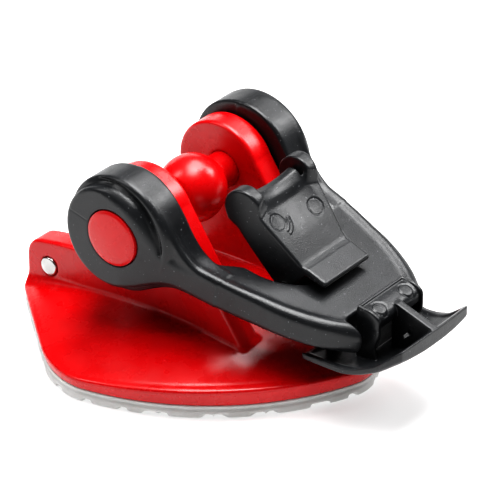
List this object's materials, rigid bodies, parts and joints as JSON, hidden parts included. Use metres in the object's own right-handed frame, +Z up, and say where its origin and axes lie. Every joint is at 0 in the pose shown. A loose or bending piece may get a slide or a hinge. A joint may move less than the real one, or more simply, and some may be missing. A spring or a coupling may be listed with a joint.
{
  "type": "lever cam cleat",
  "caption": "Lever clamp cleat with a padded base, a tie bar between its ears and a swinging lever with a sprung jaw.",
  "frame": {"origin": "on the plane that the rubber pad rests on, straight below the lever's pivot axis", "axes": "+X across, along the pivot axis; +Y towards the lever's tail at rest; +Z up"},
  "size_m": [0.093, 0.11, 0.0513],
  "materials": {
    "red_plastic": "satin moulded nylon",
    "black_plastic": "satin moulded glass-filled nylon",
    "steel": "bright ground stainless",
    "white_rubber": "soft matte"
  },
  "bodies": {
    "base": {"base_frame": "red_plastic", "grip_pad": "white_rubber", "cross_pin": "steel", "pivot_ball": "red_plastic", "pivot_stub_left": "red_plastic", "pivot_stub_right": "red_plastic"},
    "lever": {"lever_frame": "black_plastic", "rocker_pin": "steel", "rocker_spring": "steel", "tab_pin": "steel", "tab_spring": "steel"},
    "jaw": {"rocker_jaw": "black_plastic"},
    "tab": {"release_tab": "black_plastic"}
  },
  "joints": [
    {"name": "lever_swing", "type": "hinge", "parent": "base", "child": "lever", "pos_m": [0, 0, 0.0364], "axis": [1, 0, 0], "range_deg": [0, 180]},
    {"name": "jaw_rock", "type": "hinge", "parent": "lever", "child": "jaw", "pos_m": [0, 0.0355, 0.0268], "axis": [1, 0, 0], "range_deg": [-6, 0], "stiffness_Nm_per_rad": 0.3, "springref_deg": 8.59},
    {"name": "tab_squeeze", "type": "hinge", "parent": "lever", "child": "tab", "pos_m": [0, 0.048, 0.022], "axis": [1, 0, 0], "range_deg": [0, 5], "stiffness_Nm_per_rad": 0.3, "springref_deg": -8.59}
  ]
}
